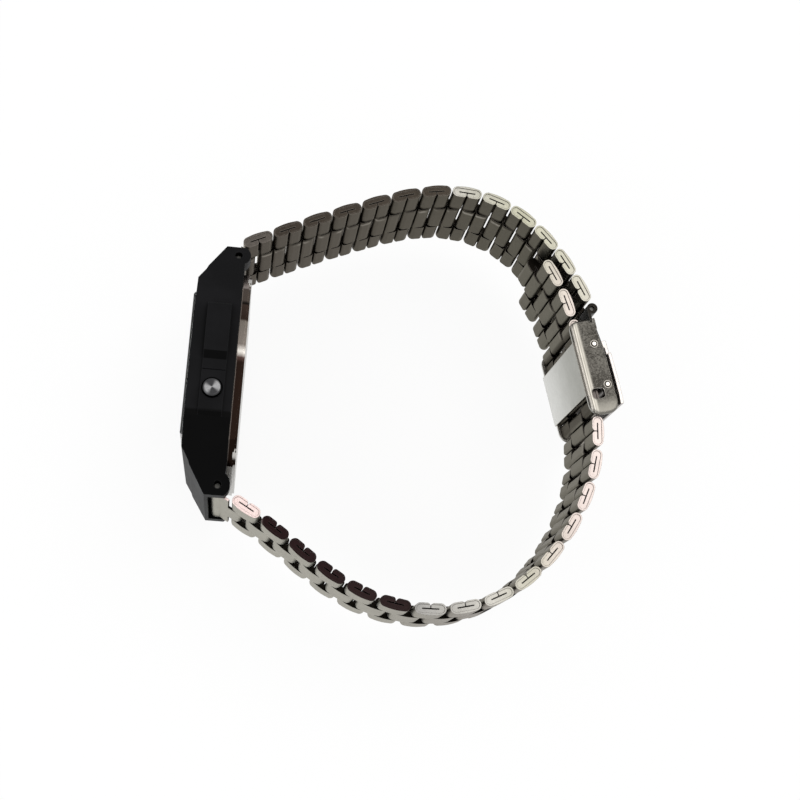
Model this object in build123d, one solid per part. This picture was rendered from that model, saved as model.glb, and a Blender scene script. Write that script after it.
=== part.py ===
from build123d import *
import math
import os

# A digital wristwatch that stands on its nine o'clock side. X runs from the face to the wrist, Y to twelve
# o'clock and Z from the nine o'clock side to the three o'clock side. The origin is the middle of the pad
# that the side rests on. Pieces are drawn about the mid plane of the strap and lifted at the end.

# Resin case, with depths counted from the plane through the middle of the side pads
case_length = 36.8
case_width = 33.2
front_depth = 3.5
rear_depth = 2.9
shoulder_from_end = 6.05
ledge_from_end = 4.45
ledge_depth = 2.5
ledge_step = 0.25
ledge_rise = 0.65
lug_front = 0.1
lug_round = 1.75
lug_thickness = 1.95
waist_from_end = 10.2
side_drop = 1.0
side_wall = 2.4
end_wall = 6.0
front_wall = 1.6
cavity_corner = 4.4

# Pads and button panels on the two sides
pad_depth = 3.3
panel_drop = 0.55
step_length = 1.1
guard_bevel = 0.4
guard_low = 0.95
panel_bevel = 0.6
rest_pad_half = 1.2
outer_pad_length = 0.8
groove_size = 0.15
groove_place = 1.6

# Crystal, face and display
crystal_end_margin = 7.95
crystal_side_margin = 3.9
crystal_thickness = 1.4
crystal_rise = 0.45
crystal_ledge = 1.9
fit_gap = 0.05
face_thickness = 0.25
window_end_margin = 2.9
window_side_margin = 1.9
lcd_end_margin = 0.85
lcd_side_margin = 0.4
lcd_thickness = 1.1
guide_length = 1.4
guide_width = 6.0

# Module behind the display
module_end_gap = 0.2
module_side_gap = 1.3
zebra_width = 1.0
zebra_inset = 0.4
zebra_height = 0.7
board_thickness = 0.5
cell_margin = 1.9
cell_thickness = 1.6
cell_shift = 1.9
clip_width = 3.0
clip_thickness = 0.12
quartz_diameter = 1.5
quartz_length = 5.0
buzzer_margin = 2.2
buzzer_thickness = 0.22
buzzer_spring_diameter = 0.9
buzzer_spring_place = 3.0
leaf_thickness = 0.15
leaf_width = 1.6
leaf_length = 3.4

# Steel back and its screws
back_end_margin = 4.2
back_side_margin = 2.2
back_corner = 3.2
back_thickness = 1.2
back_bevel = 0.3
gasket_width = 0.7
gasket_height = 0.4
screw_from_end = 1.85
screw_from_side = 2.5
screw_diameter = 1.2
screw_length = 3.0
screw_head_diameter = 2.0
screw_head_height = 0.5
screw_gap = 0.02
slot_width = 0.3
slot_depth = 0.2

# Pushers
button_diameter = 2.6
button_head = 1.1
button_rise = 0.5
button_dome = 0.25
button_travel = 0.5
button_shaft = 1.5
button_gap = 0.06
button_place = 4.3
recess_diameter = 2.95
recess_depth = 1.9
seal_thickness = 0.55
ring_diameter = 2.5
ring_thickness = 0.2
ring_bite = 0.25

# Spring bars and strap end pieces
bar_from_end = 1.45
bar_depth = 1.9
bar_diameter = 1.3
bar_tip_diameter = 0.84
bar_tip_inset = 0.6
lug_hole_diameter = 1.1
barrel_wall = 0.42
barrel_gap = 0.07
end_reach = 3.6
end_plate_gap = 0.25
slot_skin = 0.6
slot_reach = 3.2

# Folded links
strap_width = 18.0
middle_row = 7.4
row_gap = 0.4
sheet = 0.36
pin_diameter = 0.74
pin_gap = 0.09
pin_spacing = 2.44
link_length = 4.5
link_crown = 0.12
link_slit = 0.16
link_seam = 0.12
seam_lift = 0.5
lobe_flat = 0.45
link_end_cap = 0.35
link_rim_wall = 0.22
link_rim_height = 0.12
pin_end_gap = 0.1
taken_play = 0.9 * pin_gap

# Directions of travel from the case to the clasp, in degrees, one for each outer link
strap_a_angle = 66.0
strap_a_turns = [28.0, 27.0, 26.0, 24.0, 23.0, 18.5, 10.0, -4.0, -19.0, -35.0, -47.0, -56.0, -62.0]
strap_b_angle = -28.0
strap_b_turns = [-30.0, -34.0, -36.0, -31.0, -22.0, -10.0, 1.0, 14.0, 28.0, 42.0, 53.0, 62.0, 71.0, 81.0, 93.0]
clasp_turn = 106.0
tail_turns = [112.0, 122.0]
clamped_links = 3

# Clasp, with lengths along strap B and heights from the flanges' middle line
flange_length = 14.6
flange_height = 4.6
flange_corner = 1.8
nose_corner = 1.3
nose_drop = 0.7
nose_taper = 6.3
flange_thickness = 0.75
flange_bevel = 0.3
flange_gap = 0.3
web_thickness = 0.4
web_gap = 0.09
strap_sink = 1.15
mouth_reach = 1.6
first_pin_inset = 1.6
bar_reach = 1.8
bar_height = 2.2
bridge_length = 3.5
bridge_thickness = 0.4
clasp_pin_diameter = 0.8
clasp_pin_proud = 0.06
clasp_pin_gap = 0.05
cover_pin_from_end = 3.9
cover_pin_height = 0.75
lock_pin_from_end = 4.3
lock_pin_height = 1.2
cover_thickness = 0.45
cover_gap = 0.1
cover_bow = 0.12
cover_crest = 4.2
cover_arch_share = 0.75
cover_wide_from_pin = 1.8
cover_free_inset = 1.0
ear_thickness = 0.6
ear_radius = 0.72
ear_gap = 0.1
lock_wall = 0.3
lock_thickness = 0.35
lock_lift = 0.2
lock_reach = 5.2
tool_hole_length = 1.6
tool_hole_height = 1.9
tool_hole_corner = 0.55
tool_hole_from_end = 3.2
tool_hole_sink = 0.5

overrun = 1.0

mid_z = case_width / 2
half_length = case_length / 2
shoulder_half = half_length - shoulder_from_end
ledge_half = half_length - ledge_from_end
waist_half = half_length - waist_from_end
guard_high = waist_half - guard_bevel
panel_low = waist_half - panel_bevel
outer_pad_low = guard_high - outer_pad_length
cavity_length = case_length - 2 * end_wall
cavity_width = case_width - 2 * (side_drop + side_wall)
crystal_length = case_length - 2 * crystal_end_margin
crystal_width = case_width - 2 * crystal_side_margin
opening_length = crystal_length - 2 * crystal_ledge
opening_width = crystal_width - 2 * crystal_ledge
lcd_length = opening_length - 2 * lcd_end_margin
lcd_width = opening_width - 2 * lcd_side_margin
window_length = lcd_length - 2 * window_end_margin
window_width = lcd_width - 2 * window_side_margin
module_length = cavity_length - 2 * module_end_gap
module_width = cavity_width - 2 * module_side_gap
cell_diameter = min(module_length, module_width) - 2 * cell_margin
buzzer_diameter = min(cavity_length, cavity_width) - 2 * buzzer_margin
back_length = case_length - 2 * back_end_margin
back_width = case_width - 2 * back_side_margin
screw_place_y = back_length / 2 - screw_from_end
screw_place_z = back_width / 2 - screw_from_side
cavity_front = -(front_depth - front_wall)
bar_y = half_length - bar_from_end
lug_half = strap_width / 2 + flange_gap / 2 + lug_thickness
side_half = case_width / 2 - side_drop
strap_half = strap_width / 2
row_half = middle_row / 2
bore_radius = pin_diameter / 2 + pin_gap
lobe_radius = bore_radius + sheet
pin_half = strap_half - link_end_cap - pin_end_gap
barrel_bore = bar_diameter / 2 + barrel_gap
barrel_radius = barrel_bore + barrel_wall
step_a = pin_spacing - taken_play
step_b = pin_spacing + taken_play


def block(x0, x1, y0, y1, z0, z1):
    return Pos((x0 + x1) / 2, (y0 + y1) / 2, (z0 + z1) / 2) * Box(x1 - x0, y1 - y0, z1 - z0)


def centred(x0, x1, length, width):
    return block(x0, x1, -length / 2, length / 2, -width / 2, width / 2)


def across(face, z0, z1):
    # A side view outline in X and Y, pushed along the width.
    return extrude(Pos(0, 0, z0) * face, z1 - z0)


def facing(outline, x0, x1):
    # A front view outline in Y and Z, pushed from front to back.
    return extrude(Plane.YZ.offset(x0) * make_face(Polyline(*outline, close=True)), x1 - x0)


def cut_corner_outline(length, width, corner):
    half_l = length / 2
    half_w = width / 2
    return [
        (-half_l, -half_w + corner), (-half_l + corner, -half_w), (half_l - corner, -half_w),
        (half_l, -half_w + corner), (half_l, half_w - corner), (half_l - corner, half_w),
        (-half_l + corner, half_w), (-half_l, half_w - corner),
    ]


def disc(diameter, x0, x1, y, z):
    return Pos((x0 + x1) / 2, y, z) * Rot(0, 90, 0) * Cylinder(diameter / 2, x1 - x0)


def upright(radius, z0, z1):
    return Pos(0, 0, (z0 + z1) / 2) * Cylinder(radius, z1 - z0)


def save(name, *solids):
    lifted = [Pos(0, 0, mid_z) * solid for solid in solids]
    group = lifted[0] if len(lifted) == 1 else Compound(children=lifted)
    export_step(group, os.path.join("parts", name + ".step"))


def side_profile():
    upper = [
        (-front_depth, shoulder_half), (-ledge_depth, ledge_half),
        (-ledge_depth + ledge_step, ledge_half + ledge_rise), (lug_front, half_length),
        (rear_depth, half_length),
    ]
    lower = [(x, -y) for x, y in reversed(upper)]
    face = make_face(Polyline(*upper, *lower, close=True))
    for side in (1, -1):
        face += Pos(bar_depth, side * bar_y) * Circle(lug_round)
    for side in (1, -1):
        face -= Pos(rear_depth, side * (half_length + lug_round)) * Rectangle(4 * lug_round, 2 * lug_round)
    return face


def front_outline():
    quarter = [(waist_half, side_half), (half_length, lug_half)]
    flipped = [(y, -z) for y, z in reversed(quarter)]
    return quarter + flipped + [(-y, z) for y, z in reversed(flipped)] + [(-y, z) for y, z in reversed(quarter)]


def panel(outline):
    # A raised stretch of a side, drawn in Y and height above the mid plane.
    return facing(outline, -pad_depth / 2, pad_depth / 2)


def three_side():
    top = case_width / 2
    low = top - panel_drop
    deep = side_half - overrun
    outline = [
        (waist_half, deep), (waist_half, side_half), (guard_high, top), (guard_low, top),
        (guard_low - step_length, low), (-panel_low, low), (-waist_half, side_half), (-waist_half, deep),
    ]
    groove = block(-pad_depth, pad_depth, -groove_place - groove_size, -groove_place, low - groove_size, top)
    return panel(outline) - groove


def nine_side():
    top = -case_width / 2
    low = top + panel_drop
    deep = -side_half + overrun
    side = (waist_half, -side_half)
    half = [
        side, (guard_high, top), (outer_pad_low, top), (outer_pad_low, low),
        (rest_pad_half, low), (rest_pad_half, top),
    ]
    other = [(-y, z) for y, z in reversed(half)]
    return panel([(waist_half, deep)] + half + other + [(-waist_half, deep)])


def button_spots():
    # Place along the case, side and name of each pusher.
    return [
        (-button_place, 1, "alarm_button"),
        (button_place, -1, "light_button"),
        (-button_place, -1, "mode_button"),
    ]


def on_side(y, side, part):
    # Turns a part drawn along Z, from the mid plane outwards, onto one side of the case.
    turned = part if side > 0 else Rot(180, 0, 0) * part
    return Pos(0, y, 0) * turned


def button_levels():
    panel_top = case_width / 2 - panel_drop
    head_top = panel_top + button_rise
    head_low = head_top - button_head
    return panel_top, head_top, head_low


def case_body():
    body = across(side_profile(), -mid_z, mid_z) & facing(front_outline(), -case_length, case_length)
    body += three_side()
    body += nine_side()
    body -= facing(cut_corner_outline(cavity_length, cavity_width, cavity_corner), cavity_front, case_length)
    pocket = crystal_thickness - crystal_rise
    body -= centred(-case_length, -front_depth + pocket, crystal_length + 2 * fit_gap, crystal_width + 2 * fit_gap)
    body -= centred(-case_length, 0, opening_length, opening_width)
    slot_half = strap_half + flange_gap / 2
    for side in (1, -1):
        near = side * (half_length - slot_reach)
        far = side * (half_length + overrun)
        body -= block(slot_skin, case_length, min(near, far), max(near, far), -slot_half, slot_half)
        body -= Pos(bar_depth, side * bar_y) * upright(lug_hole_diameter / 2, -mid_z, mid_z)
    panel_top, head_top, head_low = button_levels()
    for y, side, name in button_spots():
        recess = upright(recess_diameter / 2, panel_top - recess_depth, mid_z + overrun)
        shaft_hole = upright(button_shaft / 2 + button_gap, cavity_width / 2 - overrun, mid_z)
        body -= on_side(y, side, recess + shaft_hole)
    for y, z in screw_spots():
        body -= disc(screw_diameter + 2 * screw_gap, rear_depth - screw_length, case_length, y, z)
    gasket_room = gasket_ring(gasket_width + 2 * fit_gap, gasket_height)
    return body - gasket_room


def gasket_ring(width, height):
    middle_l = cavity_length + gasket_width + 4 * fit_gap
    middle_w = cavity_width + gasket_width + 4 * fit_gap
    outer = cut_corner_outline(middle_l + width, middle_w + width, cavity_corner + width / 2)
    inner = cut_corner_outline(middle_l - width, middle_w - width, cavity_corner)
    front = rear_depth - height
    return facing(outer, front, rear_depth) - facing(inner, front - overrun, rear_depth + overrun)


def screw_spots():
    return [(y, z) for y in (screw_place_y, -screw_place_y) for z in (screw_place_z, -screw_place_z)]


def case_back():
    outline = cut_corner_outline(back_length, back_width, back_corner)
    inset = cut_corner_outline(back_length - 2 * back_bevel, back_width - 2 * back_bevel, back_corner)
    rear = rear_depth + back_thickness
    plate = facing(outline, rear_depth, rear - back_bevel) + facing(inset, rear - back_bevel, rear)
    for y, z in screw_spots():
        plate -= disc(screw_diameter + 4 * screw_gap, rear_depth - overrun, rear + overrun, y, z)
        plate -= disc(screw_head_diameter + 4 * screw_gap, rear - screw_head_height, rear + overrun, y, z)
    return plate


def back_screw(y, z):
    rear = rear_depth + back_thickness
    tip = rear_depth - screw_length + fit_gap
    screw = disc(screw_diameter, tip, rear - screw_head_height, y, z)
    screw += disc(screw_head_diameter, rear - screw_head_height, rear, y, z)
    half_slot = slot_width / 2
    return screw - block(rear - slot_depth, rear + overrun, y - half_slot, y + half_slot, z - back_width, z + back_width)


def crystal():
    front = -front_depth - crystal_rise
    whole = centred(front, front + crystal_thickness, crystal_length, crystal_width)
    return chamfer(whole.faces().sort_by(Axis.X)[0].edges(), crystal_rise / 2)


def face_plate():
    rear = cavity_front - fit_gap
    plate = centred(rear - face_thickness, rear, opening_length - 2 * fit_gap, opening_width - 2 * fit_gap)
    return plate - centred(rear - overrun, rear + overrun, window_length, window_width)


def lcd_front():
    return cavity_front + fit_gap


def lcd_panel():
    return centred(lcd_front(), lcd_front() + lcd_thickness, lcd_length, lcd_width)


def board_front():
    return lcd_front() + lcd_thickness + zebra_height + 2 * fit_gap


def inside_cavity(x0, x1):
    # A block that fills the cavity's plan, less a small gap at its sides and corners.
    narrower = (cavity_length - module_length + cavity_width - module_width) / 2
    corner = cavity_corner - narrower + 4 * fit_gap
    return facing(cut_corner_outline(module_length, module_width, corner), x0, x1)


def zebra_strips():
    front = lcd_front() + lcd_thickness + fit_gap
    strips = []
    for side in (1, -1):
        outer = side * (lcd_length / 2 - zebra_inset)
        inner = outer - side * zebra_width
        half = lcd_width / 2 - zebra_inset
        strips.append(block(front, front + zebra_height, min(outer, inner), max(outer, inner), -half, half))
    return strips


def guide_block(gap):
    near = lcd_length / 2 + 2 * fit_gap + zebra_inset
    half = guide_width / 2 + gap
    return block(lcd_front(), lcd_front() + lcd_thickness + gap, near - gap, near + guide_length + gap, -half, half)


def module_frame():
    rear = board_front() - fit_gap
    frame = inside_cavity(lcd_front(), rear)
    frame -= centred(lcd_front() - overrun, rear + overrun, lcd_length + 2 * fit_gap, lcd_width + 2 * fit_gap)
    return frame - guide_block(fit_gap) - guide_block_mouth()


def guide_block_mouth():
    near = lcd_length / 2
    half = guide_width / 2 + fit_gap
    return block(lcd_front() - overrun, lcd_front() + lcd_thickness + fit_gap, near, near + guide_length, -half, half)


def circuit_board():
    return inside_cavity(board_front(), board_front() + board_thickness)


def cell_front():
    return board_front() + board_thickness + fit_gap


def quartz_can():
    x = cell_front() + quartz_diameter / 2
    y = -module_length / 2 + quartz_diameter / 2 + zebra_inset
    return Pos(x, y, 0) * upright(quartz_diameter / 2, -quartz_length, 0)


def battery():
    step = cell_thickness / 4
    wide = disc(cell_diameter, cell_front() + step, cell_front() + cell_thickness, cell_shift, 0)
    return wide + disc(cell_diameter - 4 * step, cell_front(), cell_front() + step, cell_shift, 0)


def battery_clip():
    front = cell_front() + cell_thickness + fit_gap
    half = clip_width / 2
    end = module_width / 2
    strap = block(front, front + clip_thickness, cell_shift - half, cell_shift + half, -end, end)
    for side in (1, -1):
        outer = side * end
        inner = side * (cell_diameter / 2 + zebra_inset)
        foot = block(cell_front(), front, cell_shift - half, cell_shift + half, min(outer, inner), max(outer, inner))
        strap += foot
    return strap


def buzzer_disc():
    return disc(buzzer_diameter, rear_depth - fit_gap - buzzer_thickness, rear_depth - fit_gap, 0, 0)


def buzzer_spring():
    rear = rear_depth - 2 * fit_gap - buzzer_thickness
    edge = buzzer_diameter / 2 - buzzer_spring_diameter
    return disc(buzzer_spring_diameter, cell_front(), rear, -edge, buzzer_spring_place)


def leaf_top():
    return module_width / 2 + fit_gap + leaf_thickness


def contact_springs():
    leaves = []
    low = leaf_top() - leaf_thickness
    for y, side, name in button_spots():
        leaf = block(-leaf_width / 2, leaf_width / 2, -leaf_length / 2, leaf_length / 2, low, leaf_top())
        leaves.append(on_side(y, side, leaf))
    return leaves


def pusher():
    panel_top, head_top, head_low = button_levels()
    clip_high = cavity_width / 2 - fit_gap
    clip_low = clip_high - ring_thickness
    tip = leaf_top() + button_travel + fit_gap
    head = upright(button_diameter / 2, head_low, head_top)
    head = fillet(head.edges().sort_by(Axis.Z)[-1], button_dome)
    shaft = upright(button_shaft / 2, tip, head_low)
    waist_radius = button_shaft / 2 - ring_bite
    groove = upright(button_shaft, clip_low, clip_high) - upright(waist_radius, clip_low, clip_high)
    clip = upright(ring_diameter / 2, clip_low, clip_high)
    clip -= upright(waist_radius + fit_gap, clip_low - overrun, clip_high + overrun)
    clip -= block(0, ring_diameter, -waist_radius, waist_radius, clip_low - overrun, clip_high + overrun)
    return head + (shaft - groove), clip


def button_seals():
    panel_top, head_top, head_low = button_levels()
    low = panel_top - recess_depth + fit_gap
    outer = recess_diameter / 2 - button_gap
    ring = upright(outer, low, low + seal_thickness)
    ring -= upright(button_shaft / 2 + button_gap, low - overrun, low + seal_thickness + overrun)
    return [on_side(y, side, ring) for y, side, name in button_spots()]


def spring_bar(side):
    tube_end = strap_half - fit_gap
    tip_end = lug_hole_half()
    bar = upright(bar_diameter / 2, -tube_end, tube_end) + upright(bar_tip_diameter / 2, -tip_end, tip_end)
    return Pos(bar_depth, side * bar_y) * bar


def lug_hole_half():
    return lug_half - bar_tip_inset


def link_outline(bored):
    # A strip of sheet rolled round two pins, with its ends meeting over the slit on the wrist side.
    # At its closed end the slit alone shows, as far as the pins' centres.
    fold = link_length / 2 - lobe_radius
    pin = pin_spacing / 2
    half_slit = link_slit / 2
    half_seam = link_seam / 2
    valley = -lobe_radius + seam_lift
    turn_share = 1 - math.sqrt(1 / 2)
    flank = (half_seam + turn_share * (lobe_flat - half_seam), -lobe_radius + turn_share * seam_lift)
    slit_end = pin - math.sqrt(bore_radius**2 - half_slit**2) if bored else pin
    back = ThreePointArc((-fold, lobe_radius), (0, lobe_radius + link_crown), (fold, lobe_radius))
    edges = [back]
    for s in (1, -1):
        edges += [
            ThreePointArc((s * fold, lobe_radius), (s * (fold + lobe_radius), 0), (s * fold, -lobe_radius)),
            Line((s * fold, -lobe_radius), (s * lobe_flat, -lobe_radius)),
            ThreePointArc((s * lobe_flat, -lobe_radius), (s * flank[0], flank[1]), (s * half_seam, valley)),
            Line((s * half_seam, valley), (s * half_seam, -half_slit)),
            Line((s * half_seam, -half_slit), (s * slit_end, -half_slit)),
        ]
        if bored:
            turn = (s * (pin + bore_radius), 0)
            edges.append(ThreePointArc((s * slit_end, -half_slit), turn, (s * slit_end, half_slit)))
        else:
            edges.append(Line((s * slit_end, -half_slit), (s * slit_end, half_slit)))
    edges.append(Line((-slit_end, half_slit), (slit_end, half_slit)))
    return make_face(edges)


def link_shapes():
    bored = link_outline(True)
    cap_low = strap_half - link_end_cap
    outer = across(bored, row_half + row_gap, cap_low) + across(link_outline(False), cap_low, strap_half)
    sunk = SlotOverall(link_length - 2 * link_rim_wall, 2 * (lobe_radius - link_rim_wall))
    outer -= across(sunk, strap_half - link_rim_height, strap_half + overrun)
    pin = upright(pin_diameter / 2, -pin_half, pin_half)
    return outer, mirror(outer, about=Plane.XY), across(bored, -row_half, row_half), pin


def shut_end(middle):
    # The last link of the tail, whose free end is rolled shut with no pin in it.
    return middle + Pos(-pin_spacing / 2, 0) * upright(bore_radius, -row_half, row_half)


def walk(start, first_run, step, turns, last_turn):
    # Pin places from the spring bar on: the end piece, then outer and middle links by turns.
    places = [start, stride(start, first_run, turns[0])]
    headings = [turns[0]]
    for index, turn in enumerate(turns[1:], start=1):
        following = turns[index + 1] if index + 1 < len(turns) else last_turn
        for heading in (turn, (turn + following) / 2):
            places.append(stride(places[-1], step, heading))
            headings.append(heading)
    return places, headings


def stride(point, length, heading):
    angle = math.radians(heading)
    return point[0] + length * math.cos(angle), point[1] + length * math.sin(angle)


def between(a, b):
    return (a[0] + b[0]) / 2, (a[1] + b[1]) / 2


def link_node(shapes, places, index, flip, headings):
    # The outer pair after pin number index, its two pins and the middle link that follows.
    outer_up, outer_down, middle, pin = shapes
    spin = 180 if flip else 0
    here = Pos(*between(places[index], places[index + 1])) * Rot(0, 0, headings[index] + spin)
    solids = [here * outer_up, here * outer_down]
    solids += [Pos(*places[index]) * pin, Pos(*places[index + 1]) * pin]
    if index + 2 < len(places):
        there = Pos(*between(places[index + 1], places[index + 2])) * Rot(0, 0, headings[index + 1] + spin)
        solids.append(there * middle)
    return solids


def strap_end():
    # Drawn along X from the spring bar to the first link pin, with the outside of the strap towards Y.
    barrel_half = strap_half - fit_gap
    full_run = end_reach - link_length / 2 + pin_spacing / 2 - end_plate_gap
    plate = block(0, full_run, lobe_radius - sheet, lobe_radius, -barrel_half, barrel_half)
    tongue = block(0, end_reach, lobe_radius - sheet, lobe_radius, -row_half, row_half)
    body = upright(barrel_radius, -barrel_half, barrel_half) + plate + tongue
    body += Pos(end_reach, 0) * upright(lobe_radius, -row_half, row_half)
    body -= upright(barrel_bore, -strap_width, strap_width)
    return body - Pos(end_reach, 0) * upright(bore_radius, -strap_width, strap_width)


def clasp_frame(first_pin):
    # X runs down the clasp towards strap B and Y away from the wrist.
    back_to_middle = Pos(-(flange_length / 2 - first_pin_inset), strap_sink)
    return Pos(*first_pin) * Rot(0, 0, clasp_turn + 180) * back_to_middle


def in_clasp(first_pin, x, y):
    spot = clasp_frame(first_pin) * Pos(x, y)
    return spot.position.X, spot.position.Y


def bar_spot():
    return -(flange_length / 2 + bar_reach), bar_height


def cover_pin_spot():
    return -flange_length / 2 + cover_pin_from_end, cover_pin_height


def lock_pin_spot():
    return flange_length / 2 - lock_pin_from_end, lock_pin_height


def flange_inside():
    return strap_half + flange_gap


def flange_outside():
    return flange_inside() + flange_thickness


def flange_outline():
    # Straight on the wrist side and tapered to a rounded nose at the strap A end.
    half, high = flange_length / 2, flange_height / 2
    outline = make_face(Polyline(
        (-half, -high), (half, -high), (half, high), (nose_taper - half, high), (-half, high - nose_drop), close=True,
    ))
    corners = outline.vertices().sort_by(Axis.X)
    outline = fillet(corners[-2:], flange_corner)
    return fillet(outline.vertices().sort_by(Axis.X)[:2], nose_corner)


def clasp_box():
    outline = flange_outline()
    wall = across(outline, flange_inside(), flange_outside())
    wall = chamfer(wall.faces().sort_by(Axis.Z)[-1].edges(), flange_bevel)
    hole = RectangleRounded(tool_hole_length, tool_hole_height, tool_hole_corner)
    hole_x = flange_length / 2 - tool_hole_from_end
    wall -= Pos(hole_x, -tool_hole_sink) * across(hole, 0, strap_width)
    box = wall + mirror(wall, about=Plane.XY)
    web_top = -strap_sink - lobe_radius - web_gap
    web_end = flange_length / 2 - first_pin_inset - mouth_reach
    reach = flange_outside()
    box += block(-web_end, web_end, web_top - web_thickness, web_top, -reach, reach)
    bar_x, bar_y_local = bar_spot()
    bridge_low = bar_y_local - lobe_radius
    bridge = block(bar_x, bar_x + bridge_length, bridge_low, bridge_low + bridge_thickness, -reach, reach)
    bridge -= block(bar_x - overrun, bar_x + 2 * lobe_radius, -flange_height, flange_height, -row_half - row_gap,
                    row_half + row_gap)
    bridge -= block(bar_x - overrun, bar_x + bar_reach, -flange_height, flange_height, strap_half, strap_width)
    bridge -= block(bar_x - overrun, bar_x + bar_reach, -flange_height, flange_height, -strap_width, -strap_half)
    box += bridge
    for side in (1, -1):
        low = side * (row_half + row_gap)
        high = side * strap_half
        box += Pos(bar_x, bar_y_local) * upright(lobe_radius, min(low, high), max(low, high))
    box -= Pos(bar_x, bar_y_local) * upright(pin_diameter / 2 + screw_gap, -strap_width, strap_width)
    for x, y in (cover_pin_spot(), lock_pin_spot()):
        box -= Pos(x, y) * upright(clasp_pin_diameter / 2 + screw_gap, -strap_width, strap_width)
    return box


def clasp_pins():
    end = flange_outside() + clasp_pin_proud
    return [Pos(x, y) * upright(clasp_pin_diameter / 2, -end, end) for x, y in (cover_pin_spot(), lock_pin_spot())]


def clasp_spring_bar():
    x, y = bar_spot()
    return Pos(x, y) * upright(pin_diameter / 2, -pin_half, pin_half)


def cover_edge(start, end, height):
    # An arched line over the flanges, highest at the crest.
    top = height + cover_bow
    flank = height + cover_bow * cover_arch_share
    return [
        ThreePointArc((start, height), ((start + cover_crest) / 2, flank), (cover_crest, top)),
        ThreePointArc((cover_crest, top), ((cover_crest + end) / 2, flank), (end, height)),
    ]


def clasp_cover():
    # Narrow between the flanges at its pin, so that it can swing open, and over them from there on.
    pin_x, pin_y = cover_pin_spot()
    start = pin_x - ear_radius / 2
    end = flange_length / 2 - cover_free_inset
    low = flange_height / 2 + cover_gap
    high = low + cover_thickness
    ends = [Line((start, low), (start, high)), Line((end, low), (end, high))]
    outline = make_face(cover_edge(start, end, low) + cover_edge(start, end, high) + ends)
    ear_high = flange_inside() - ear_gap
    ear_low = ear_high - ear_thickness
    wide = across(outline, -flange_outside(), flange_outside())
    wide &= block(pin_x + cover_wide_from_pin, end, 0, case_length, -strap_width, strap_width)
    cover = across(outline, -ear_high, ear_high) + wide
    for side in (1, -1):
        z0 = min(side * ear_low, side * ear_high)
        z1 = max(side * ear_low, side * ear_high)
        neck = block(start, pin_x + ear_radius, pin_y, (low + high) / 2, z0, z1)
        cover += neck + Pos(pin_x, pin_y) * upright(ear_radius, z0, z1)
    bore = upright(clasp_pin_diameter / 2 + clasp_pin_gap, -strap_width, strap_width)
    return cover - Pos(pin_x, pin_y) * bore


def lock_plate():
    pin_x, pin_y = lock_pin_spot()
    radius = clasp_pin_diameter / 2 + clasp_pin_gap + lock_wall
    low = -strap_sink + lobe_radius + link_crown + lock_lift
    tip = pin_x - lock_reach
    half = flange_inside() - ear_gap
    outline = make_face(Polyline(
        (pin_x, pin_y + radius), (pin_x - radius, pin_y), (tip, low + lock_thickness), (tip, low),
        (pin_x - 2 * radius, low), (pin_x, pin_y - radius), close=True,
    ))
    plate = across(outline, -half, half) + Pos(pin_x, pin_y) * upright(radius, -half, half)
    return plate - Pos(pin_x, pin_y) * upright(clasp_pin_diameter / 2 + clasp_pin_gap, -strap_width, strap_width)


def close_strap_a(goal):
    # Turns the travel directions of strap A by a steady part and a growing part until it ends at the goal.
    count = len(strap_a_turns)

    def attempt(steady, growing):
        turns = [strap_a_angle] + [
            turn + steady + growing * index / count for index, turn in enumerate(strap_a_turns)
        ]
        return walk((bar_depth, bar_y), end_reach, step_a, turns, turns[-1])

    steady = 0.0
    growing = 0.0
    nudge = 0.01
    pass_count = 12
    for _ in range(pass_count):
        x, y = attempt(steady, growing)[0][-1]
        x1, y1 = attempt(steady + nudge, growing)[0][-1]
        x2, y2 = attempt(steady, growing + nudge)[0][-1]
        a, b = (x1 - x) / nudge, (x2 - x) / nudge
        c, d = (y1 - y) / nudge, (y2 - y) / nudge
        det = a * d - b * c
        off_x, off_y = goal[0] - x, goal[1] - y
        steady += (d * off_x - b * off_y) / det
        growing += (a * off_y - c * off_x) / det
    print("strap A turned by", round(steady, 2), "and", round(growing, 2), "degrees")
    return attempt(steady, growing)


def strap_b_places():
    # Strap B from the lugs through the clasp to the free tail.
    turns = [strap_b_angle] + strap_b_turns + [clasp_turn] * clamped_links + tail_turns
    return walk((bar_depth, -bar_y), end_reach, step_b, turns, tail_turns[-1])


def save_case():
    save("case_body", case_body())
    save("crystal", crystal())
    save("face_plate", face_plate())
    save("lcd_panel", lcd_panel())
    save("light_guide", guide_block(0))
    save("module_frame", module_frame())
    save("zebra_strips", *zebra_strips())
    save("circuit_board", circuit_board())
    save("quartz_can", quartz_can())
    save("battery", battery())
    save("battery_clip", battery_clip())
    save("contact_springs", *contact_springs())
    save("buzzer_disc", buzzer_disc())
    save("buzzer_spring", buzzer_spring())
    save("case_back", case_back())
    save("back_gasket", gasket_ring(gasket_width, gasket_height - fit_gap))
    save("back_screws", *[back_screw(y, z) for y, z in screw_spots()])
    save("spring_bars", spring_bar(1), spring_bar(-1))
    save("button_seals", *button_seals())
    for y, side, name in button_spots():
        save(name, *[on_side(y, side, piece) for piece in pusher()])


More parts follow.
